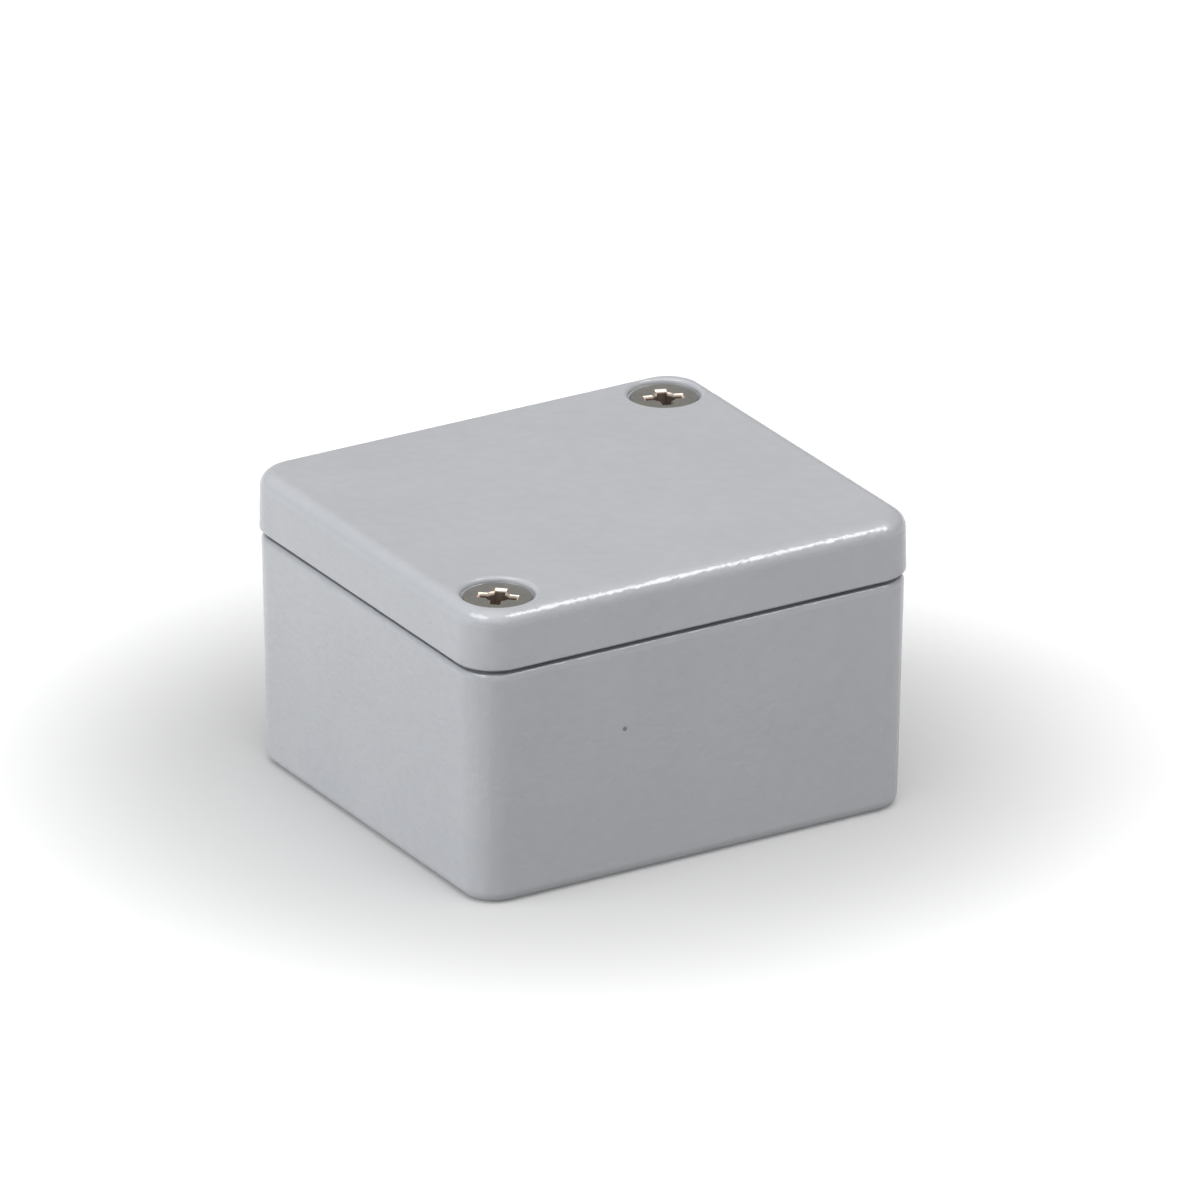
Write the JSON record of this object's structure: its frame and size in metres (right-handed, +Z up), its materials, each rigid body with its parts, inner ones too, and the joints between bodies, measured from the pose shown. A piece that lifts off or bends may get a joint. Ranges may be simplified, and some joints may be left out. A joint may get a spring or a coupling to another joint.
{
  "type": "aluminium enclosure",
  "caption": "Small rectangular die-cast aluminium box with a flat lid, a seal and countersunk lid screws in opposite corners, for housing a small circuit outdoors or in a plant.",
  "frame": {"origin": "centre of the underside, on the surface that the box stands on", "axes": "+X along the 50 mm side, +Y along the 45 mm side, +Z up through the lid; the lid screws are in the -X -Y and +X +Y corners"},
  "size_m": [0.05, 0.045, 0.0306],
  "materials": {
    "powder_coat": "die-cast aluminium with a light grey powder coat",
    "seal": "matt black silicone",
    "screw_steel": "dull stainless steel",
    "washer_plastic": "natural nylon"
  },
  "bodies": {
    "base": {"base": "powder_coat"},
    "lid": {"lid": "powder_coat", "lid_gasket": "seal"},
    "washer_front_left": {"retaining_washer_front_left": "washer_plastic"},
    "screw_front_left": {"lid_screw_front_left": "screw_steel"},
    "washer_back_right": {"retaining_washer_back_right": "washer_plastic"},
    "screw_back_right": {"lid_screw_back_right": "screw_steel"}
  },
  "joints": [
    {"name": "lid_lift", "type": "slide", "parent": "base", "child": "lid", "axis": [0, 0, 1], "range_m": [0, 0.045]},
    {"name": "screw_front_left_rise", "type": "slide", "parent": "lid", "child": "washer_front_left", "axis": [0, 0, 1], "range_m": [0, 0.0056]},
    {"name": "screw_front_left_turn", "type": "hinge", "parent": "washer_front_left", "child": "screw_front_left", "pos_m": [-0.01975, -0.01725, 0.03], "axis": [0, 0, 1], "range_deg": [0, 2880]},
    {"name": "screw_back_right_rise", "type": "slide", "parent": "lid", "child": "washer_back_right", "axis": [0, 0, 1], "range_m": [0, 0.0056]},
    {"name": "screw_back_right_turn", "type": "hinge", "parent": "washer_back_right", "child": "screw_back_right", "pos_m": [0.01975, 0.01725, 0.03], "axis": [0, 0, 1], "range_deg": [0, 2880]}
  ],
  "couplings": [
    {"joint": "screw_front_left_turn", "follows": "screw_front_left_rise", "rad_per_m": 8976},
    {"joint": "screw_back_right_turn", "follows": "screw_back_right_rise", "rad_per_m": 8976}
  ]
}
